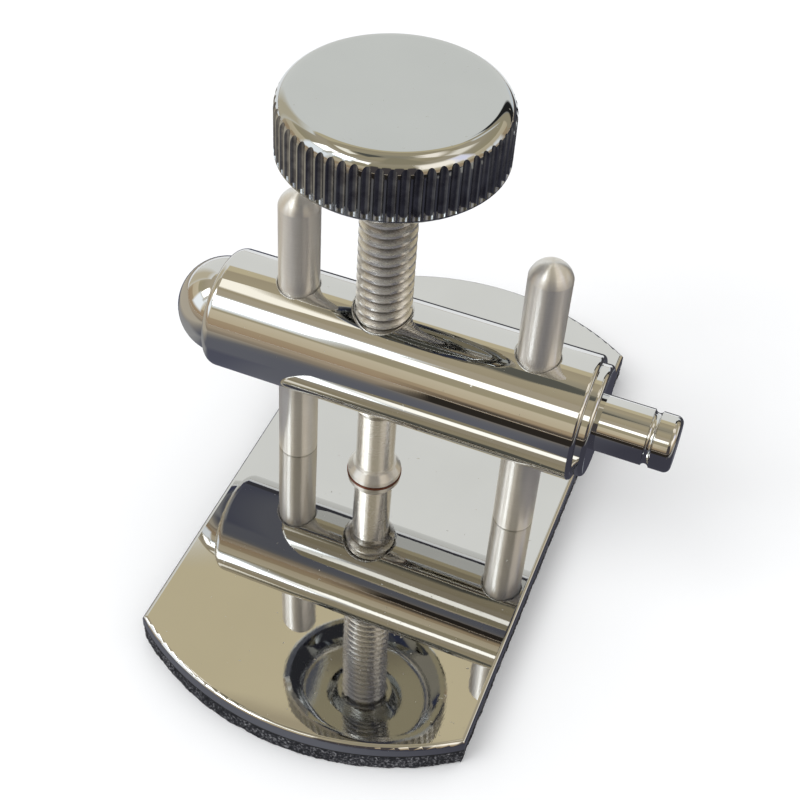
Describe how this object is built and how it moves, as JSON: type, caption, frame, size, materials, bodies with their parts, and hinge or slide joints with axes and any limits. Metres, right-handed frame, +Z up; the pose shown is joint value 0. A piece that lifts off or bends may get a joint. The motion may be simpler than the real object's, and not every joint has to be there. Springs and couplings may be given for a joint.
{
  "type": "crossbar clamp",
  "caption": "Small polished crossbar clamp: a fluted knob turns a captive screw that slides a round bar on guide posts above a foam-backed base plate.",
  "frame": {"origin": "centre of the foam pad's underside, on the surface the clamp stands on", "axes": "+X along the crossbar towards the grooved spigot, +Y along the base plate away from the user, +Z up along the screw"},
  "size_m": [0.0595, 0.0762, 0.0594],
  "materials": {
    "polished_steel": "mirror polished stainless steel",
    "satin_steel": "satin turned stainless steel",
    "hidden_steel": "plain machined steel",
    "copper": "dull copper-coloured washer",
    "foam": "black open-cell foam",
    "adhesive": "thin dark adhesive film"
  },
  "bodies": {
    "base": {"base_plate": "polished_steel", "adhesive_film": "adhesive", "foam_pad": "foam", "guide_post_left": "satin_steel", "guide_post_right": "satin_steel", "post_screw_left": "hidden_steel", "post_screw_right": "hidden_steel", "thrust_washer": "copper", "retaining_washer": "hidden_steel"},
    "screw": {"lead_screw": "satin_steel", "thrust_collar": "satin_steel", "retaining_clip": "hidden_steel", "knob": "polished_steel"},
    "crossbar": {"crossbar": "polished_steel", "end_dome": "polished_steel", "end_spigot": "polished_steel"}
  },
  "joints": [
    {"name": "knob_turn", "type": "hinge", "parent": "base", "child": "screw", "pos_m": [-0.0038, -0.001, 0.0041], "axis": [0, 0, 1], "range_deg": [-5400, 2880]},
    {"name": "crossbar_slide", "type": "slide", "parent": "base", "child": "crossbar", "axis": [0, 0, 1], "range_m": [-0.01016, 0.01905]}
  ],
  "couplings": [
    {"joint": "knob_turn", "follows": "crossbar_slide", "rad_per_m": -4947.4}
  ]
}
